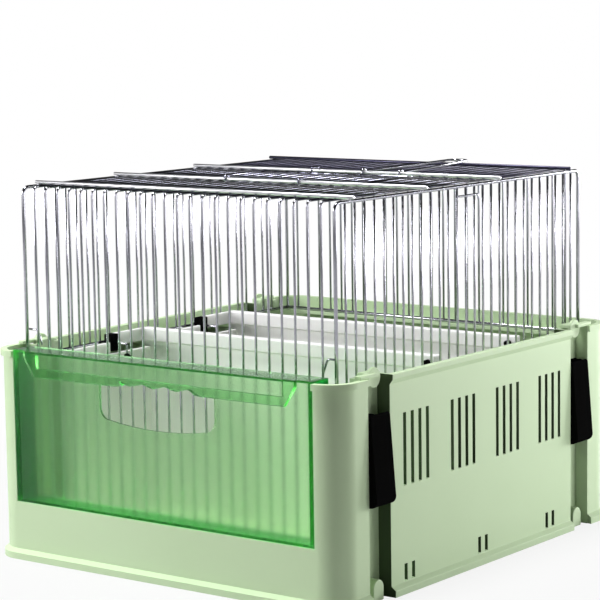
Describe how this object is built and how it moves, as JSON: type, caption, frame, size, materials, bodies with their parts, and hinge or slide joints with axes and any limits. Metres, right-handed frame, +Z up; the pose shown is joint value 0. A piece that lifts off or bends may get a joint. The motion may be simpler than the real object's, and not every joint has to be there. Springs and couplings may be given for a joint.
{
  "type": "bird carrier",
  "caption": "Knock-down plastic tub with corner latches, a sliding see-through front cover, lift-out dividers and a lift-off wire cage with a roof hatch and carry bail.",
  "frame": {"origin": "middle of the footprint, on the plane that the feet stand on", "axes": "+X to the carrier's right seen from the front, +Y from the front cover to the rear, +Z up"},
  "size_m": [0.3728, 0.42, 0.3195],
  "materials": {
    "tub": "pale mint green moulded plastic, satin",
    "latch": "black moulded plastic",
    "fitting": "black moulded plastic",
    "pin": "plain steel pin",
    "cover": "green see-through plastic",
    "wire": "galvanised wire",
    "board": "white moulded plastic"
  },
  "bodies": {
    "base": {"front_panel": "tub", "rear_panel": "tub", "left_side_panel": "tub", "right_side_panel": "tub", "floor_tray": "tub", "divider_guides": "tub", "latch_bases": "latch", "latch_pins": "pin", "top_corner_clips": "tub", "bottom_corner_clips": "tub"},
    "cover": {"front_cover": "cover"},
    "cage": {"front_grille": "wire", "rear_grille": "wire", "left_grille": "wire", "right_grille": "wire", "roof_front_grille": "wire", "roof_rear_grille": "wire", "roof_side_wires": "wire", "corner_hooks": "wire", "side_clip": "wire"},
    "hatch": {"roof_hatch": "wire"},
    "bail": {"carry_bail": "wire"},
    "front_board": {"front_divider": "board", "front_divider_fittings": "fitting", "front_divider_hook": "wire"},
    "rear_board": {"rear_divider": "board", "rear_divider_fittings": "fitting", "rear_divider_hook": "wire"},
    "front_left_lever": {"front_left_latch": "latch"},
    "front_right_lever": {"front_right_latch": "latch"},
    "rear_left_lever": {"rear_left_latch": "latch"},
    "rear_right_lever": {"rear_right_latch": "latch"}
  },
  "joints": [
    {"name": "cover_slide", "type": "slide", "parent": "base", "child": "cover", "axis": [0, 0, 1], "range_m": [0, 0.13]},
    {"name": "cage_lift", "type": "slide", "parent": "base", "child": "cage", "axis": [0, 0, 1], "range_m": [0, 0.14]},
    {"name": "hatch_hinge", "type": "hinge", "parent": "cage", "child": "hatch", "pos_m": [0, -0.062, 0.3152], "axis": [1, 0, 0], "range_deg": [0, 110]},
    {"name": "bail_hinge", "type": "hinge", "parent": "cage", "child": "bail", "pos_m": [0, 0.048, 0.3152], "axis": [1, 0, 0], "range_deg": [0, 90]},
    {"name": "front_divider_lift", "type": "slide", "parent": "base", "child": "front_board", "axis": [0, 0, 1], "range_m": [0, 0.12]},
    {"name": "rear_divider_lift", "type": "slide", "parent": "base", "child": "rear_board", "axis": [0, 0, 1], "range_m": [0, 0.12]},
    {"name": "front_left_lever_hinge", "type": "hinge", "parent": "base", "child": "front_left_lever", "pos_m": [-0.1745, -0.1525, 0.1445], "axis": [0, 1, 0], "range_deg": [0, 90]},
    {"name": "front_right_lever_hinge", "type": "hinge", "parent": "base", "child": "front_right_lever", "pos_m": [0.1745, -0.1525, 0.1445], "axis": [0, -1, 0], "range_deg": [0, 90]},
    {"name": "rear_left_lever_hinge", "type": "hinge", "parent": "base", "child": "rear_left_lever", "pos_m": [-0.1745, 0.1525, 0.1445], "axis": [0, 1, 0], "range_deg": [0, 90]},
    {"name": "rear_right_lever_hinge", "type": "hinge", "parent": "base", "child": "rear_right_lever", "pos_m": [0.1745, 0.1525, 0.1445], "axis": [0, -1, 0], "range_deg": [0, 90]}
  ]
}
